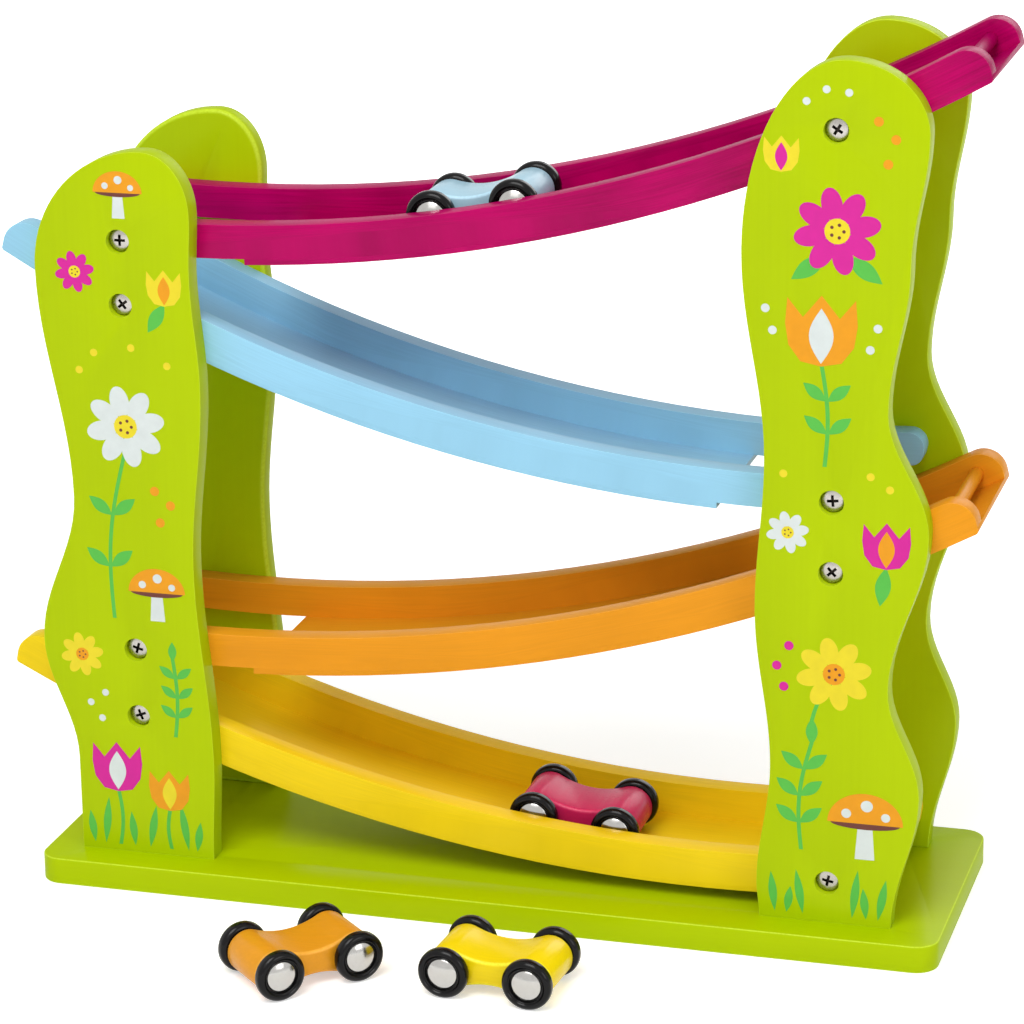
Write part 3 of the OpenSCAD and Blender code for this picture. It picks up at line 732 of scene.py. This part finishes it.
def film_piece(ink):
    """The outlines of one ink as thin closed films that reach a little way into the post."""
    shape = bmesh.new()
    for layer, outline in films[ink]:
        faces_at = (-(POST_FACE + FILM_STEP * (layer + 1)) * MM, -(POST_FACE - FILM_SINK) * MM)
        front, behind = [[shape.verts.new((x * MM, y, z * MM)) for x, z in outline] for y in faces_at]
        shape.faces.new(front)
        shape.faces.new(behind)
        for k in range(len(outline)):
            shape.faces.new((front[k - 1], front[k], behind[k], behind[k - 1]))
    bmesh.ops.recalc_face_normals(shape, faces=shape.faces)
    mesh = bpy.data.meshes.new(ink + "_print")
    shape.to_mesh(mesh)
    shape.free()
    mesh.materials.append(plain_finish(ink + "_ink", INKS[ink], 0, 0.5, 0.05, 4, 1.3))
    return linked(ink + "_print", mesh)


for ink in INKS:
    settle(film_piece(ink), "stand", "green_wood")
print("films:", {ink: len(outlines) for ink, outlines in films.items()})

# %% [markdown]
# ## Floor, light and finish
# The toy stands on a pale floor under soft studio light. The world is white to the camera and to
# reflections, and dimmer as a lamp, so that each colour renders about as it is written.

# %% Stage
FLOOR_REACH = 9
LAMP_AIM = Vector((0, 0, 0.18))


def seen_rays(tree):
    """1 for what the camera sees, straight, mirrored or through glass, and 0 for a lamp's light."""
    ray = add(tree, "ShaderNodeLightPath").outputs
    seen = ray["Is Camera Ray"]
    for kind in ("Is Glossy Ray", "Is Transmission Ray"):
        seen = add(tree, "ShaderNodeMath", {0: seen, 1: ray[kind]}, operation="MAXIMUM").outputs[0]
    return seen


def pale_floor():
    """A matt floor that keeps the shadow near the toy and grows to white further out."""
    mesh = bpy.data.meshes.new("floor")
    corners = [(x * FLOOR_REACH, y * FLOOR_REACH, 0) for x, y in ((-1, -1), (1, -1), (1, 1), (-1, 1))]
    mesh.from_pydata(corners, [], [(0, 1, 2, 3)])
    floor = linked("floor", mesh)
    material = bpy.data.materials.new("white_studio_floor")
    material.use_nodes = True
    tree = material.node_tree
    paper = tree.nodes["Principled BSDF"]
    paper.inputs["Base Color"].default_value = linear("#F6F6F6")
    paper.inputs["Roughness"].default_value = 0.9
    paper.inputs["Specular IOR Level"].default_value = 0.1
    place = add(tree, "ShaderNodeTexCoord").outputs["Object"]
    away = add(tree, "ShaderNodeVectorMath", {0: place}, operation="LENGTH")
    level = add(tree, "ShaderNodeMapRange", {"Value": away.outputs["Value"]},
                {"From Min": 0.5, "From Max": 1.6, "To Min": 0.45, "To Max": 1.0})
    glow = add(tree, "ShaderNodeMath", {0: seen_rays(tree), 1: level.outputs[0]}, operation="MULTIPLY")
    tree.links.new(glow.outputs[0], paper.inputs["Emission Strength"])
    paper.inputs["Emission Color"].default_value = (1, 1, 1, 1)
    mesh.materials.append(material)


def studio_world(lamp_level):
    """A world that is white to the camera and has lamp_level as its strength as a lamp."""
    world = bpy.data.worlds.new("studio")
    bpy.context.scene.world = world
    world.use_nodes = True
    tree = world.node_tree
    level = add(tree, "ShaderNodeMapRange", {"Value": seen_rays(tree)},
                {"To Min": lamp_level, "To Max": 1.0})
    tree.links.new(level.outputs[0], tree.nodes["Background"].inputs["Strength"])
    tree.nodes["Background"].inputs["Color"].default_value = (1, 1, 1, 1)


def soft_box(name, place, size, watts):
    lamp = bpy.data.lights.new(name, "AREA")
    lamp.shape = "RECTANGLE"
    lamp.size, lamp.size_y = size
    lamp.energy = watts
    box = bpy.data.objects.new(name, lamp)
    box.location = place
    box.rotation_euler = (LAMP_AIM - Vector(place)).to_track_quat("-Z", "Y").to_euler()
    bpy.context.scene.collection.objects.link(box)


pale_floor()
studio_world(0.46)
soft_box("front_box", (-0.3, -2.2, 1.8), (1.3, 1.3), 5)
soft_box("right_box", (1.9, -1.2, 1.0), (1.0, 1.0), 9)
soft_box("top_box", (-0.1, -1.5, 2.2), (1.3, 1.3), 36)
soft_box("back_box", (0.5, 2.3, 1.3), (1.3, 1.3), 13)
bpy.context.scene.view_settings.view_transform = "Standard"
print("studio ready")

# %% Update the scene
bpy.context.view_layer.update()
